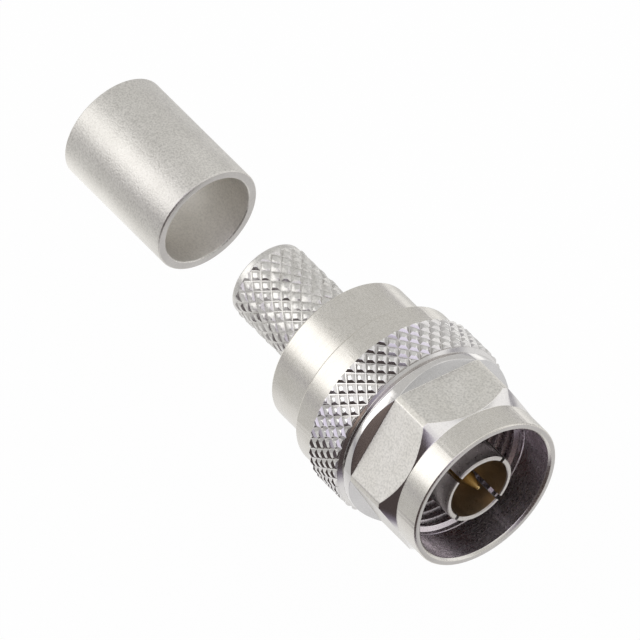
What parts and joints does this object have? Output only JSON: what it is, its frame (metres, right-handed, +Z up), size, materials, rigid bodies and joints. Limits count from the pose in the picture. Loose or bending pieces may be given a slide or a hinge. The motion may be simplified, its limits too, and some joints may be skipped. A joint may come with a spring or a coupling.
{
  "type": "n type connector",
  "caption": "Straight coaxial plug with a threaded, hexagon and knurled coupling nut, a slotted outer contact round a pin, and a crimp stem with its ferrule.",
  "frame": {"origin": "on the connector's axis in the mating plane, at the front face of the outer contact", "axes": "+X along the connector's axis, out of the mating end; +Z up, with the axis level as in the picture"},
  "size_m": [0.063, 0.021, 0.021],
  "materials": {
    "plated_brass": "satin nickel coloured plating",
    "ferrule_metal": "bead blasted, nickel coloured plating",
    "spring_bronze": "plain",
    "gold_plating": "gold plated, polished",
    "insulator": "white fluoropolymer, matte",
    "silicone": "matte"
  },
  "bodies": {
    "body": {"connector_body": "plated_brass", "outer_contact": "plated_brass", "centre_contact": "gold_plating", "front_insulator": "insulator", "rear_insulator": "insulator", "snap_ring": "spring_bronze", "gasket": "silicone"},
    "nut": {"coupling_nut": "plated_brass"},
    "ferrule": {"crimp_ferrule": "ferrule_metal"}
  },
  "joints": [
    {"name": "nut_spin", "type": "hinge", "parent": "body", "child": "nut", "pos_m": [-0.008, 0, 0], "axis": [1, 0, 0], "continuous": true},
    {"name": "ferrule_slide", "type": "slide", "parent": "body", "child": "ferrule", "axis": [1, 0, 0], "range_m": [0, 0.0222]}
  ]
}
